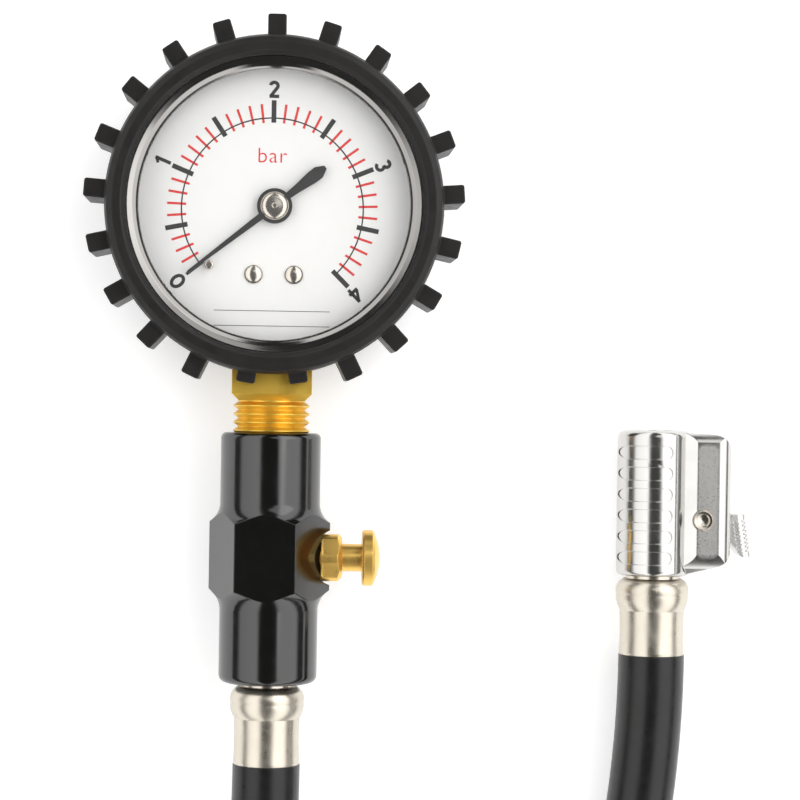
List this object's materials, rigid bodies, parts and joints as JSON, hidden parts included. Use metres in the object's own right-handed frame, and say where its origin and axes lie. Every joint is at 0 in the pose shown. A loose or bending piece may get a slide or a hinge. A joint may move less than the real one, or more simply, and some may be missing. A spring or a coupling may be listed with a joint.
{
  "type": "tyre pressure gauge with hose",
  "caption": "Dial tyre pressure gauge in a toothed rubber boot, with brass stem, black valve body, push-button bleed valve, rubber hose and clip-on lever chuck.",
  "frame": {"origin": "gauge axis on the rubber boot's back face", "axes": "+Z out of the dial, +Y from the stem towards the top of the dial (the hose leaves towards -Y), +X towards the chuck and the bleed button"},
  "size_m": [0.1518, 0.3446, 0.0272],
  "materials": {
    "boot_rubber": "matte moulded rubber",
    "case_black": "black enamel on steel",
    "bezel_gloss_black": "glossy black enamel",
    "lens_clear": "clear, polished",
    "seal_rubber": "moulded rubber seal",
    "dial_white": "matte white print on aluminium",
    "nickel": "bright nickel plate",
    "pointer_black": "semi-matte black",
    "brass": "turned brass",
    "steel": "spring and pin steel",
    "spring_bronze": "phosphor bronze strip",
    "bronze_tube": "drawn bronze tube",
    "anodised_black": "black anodised, satin gloss",
    "ferrule_nickel": "polished nickel plate, satin crimp",
    "hose_rubber": "smooth black rubber hose",
    "chuck_chrome": "bright chrome on zinc casting",
    "lever_chrome": "chrome plate, softer on the ribs"
  },
  "bodies": {
    "root": {"rubber_boot": "boot_rubber", "gauge_case": "case_black", "bezel": "bezel_gloss_black", "lens": "lens_clear", "lens_gasket": "seal_rubber", "dial": "dial_white", "dial_screws": "nickel", "pointer_stop_pin": "nickel", "movement_back_plate": "brass", "movement_front_plate": "brass", "movement_screws": "steel", "movement_pillars": "brass", "dial_spacers": "brass", "hairspring": "spring_bronze", "hairspring_stud": "brass", "bourdon_tube": "bronze_tube", "tube_tip": "brass", "gauge_stem": "brass", "stem_seal": "seal_rubber", "valve_body": "anodised_black", "bleed_valve_body": "brass", "bleed_spring": "steel", "hose_fitting_gauge": "nickel", "hose_fitting_chuck": "nickel", "ferrule_gauge": "ferrule_nickel", "ferrule_chuck": "ferrule_nickel", "hose": "hose_rubber", "chuck_body": "chuck_chrome", "valve_seal": "seal_rubber", "core_depressor": "brass", "seal_washer": "brass", "retainer_ring": "steel", "lever_rivet": "nickel", "lever_spring": "steel"},
    "pointer_body": {"pointer": "pointer_black", "pointer_cap": "nickel", "pinion_shaft": "brass", "spring_collet": "brass"},
    "sector_body": {"sector_gear": "brass", "sector_shaft": "steel", "link_pin": "steel"},
    "link_body": {"link": "brass"},
    "bleed_body": {"bleed_button": "brass", "bleed_o_ring": "seal_rubber"},
    "lever_body": {"thumb_lever": "lever_chrome"}
  },
  "joints": [
    {"name": "pointer_sweep", "type": "hinge", "parent": "root", "child": "pointer_body", "pos_m": [0, 0, 0.0125], "axis": [0, 0, -1], "range_deg": [0, 263.25], "stiffness_Nm_per_rad": 0.0005, "deforming": ["hairspring"]},
    {"name": "sector_swing", "type": "hinge", "parent": "root", "child": "sector_body", "pos_m": [0.0095, 0.00742, 0.0115], "axis": [0, 0, -1], "range_deg": [-29.6, 0.3]},
    {"name": "link_swing", "type": "hinge", "parent": "sector_body", "child": "link_body", "pos_m": [0.01268, 0.00889, 0.01237], "axis": [0, 0, -1], "range_deg": [-0.3, 26.8]},
    {"name": "bleed_press", "type": "slide", "parent": "root", "child": "bleed_body", "axis": [-1, 0, 0], "range_m": [0, 0.002], "stiffness_N_per_m": 1500, "deforming": ["bleed_spring"]},
    {"name": "lever_press", "type": "hinge", "parent": "root", "child": "lever_body", "pos_m": [0.0793, -0.0555, 0.0068], "axis": [0, 0, -1], "range_deg": [0, 12], "stiffness_Nm_per_rad": 0.4, "deforming": ["lever_spring"]}
  ],
  "couplings": [
    {"joint": "sector_swing", "follows": "pointer_sweep", "ratio": -0.11111},
    {"joint": "link_swing", "follows": "pointer_sweep", "ratio": 0.10013}
  ]
}
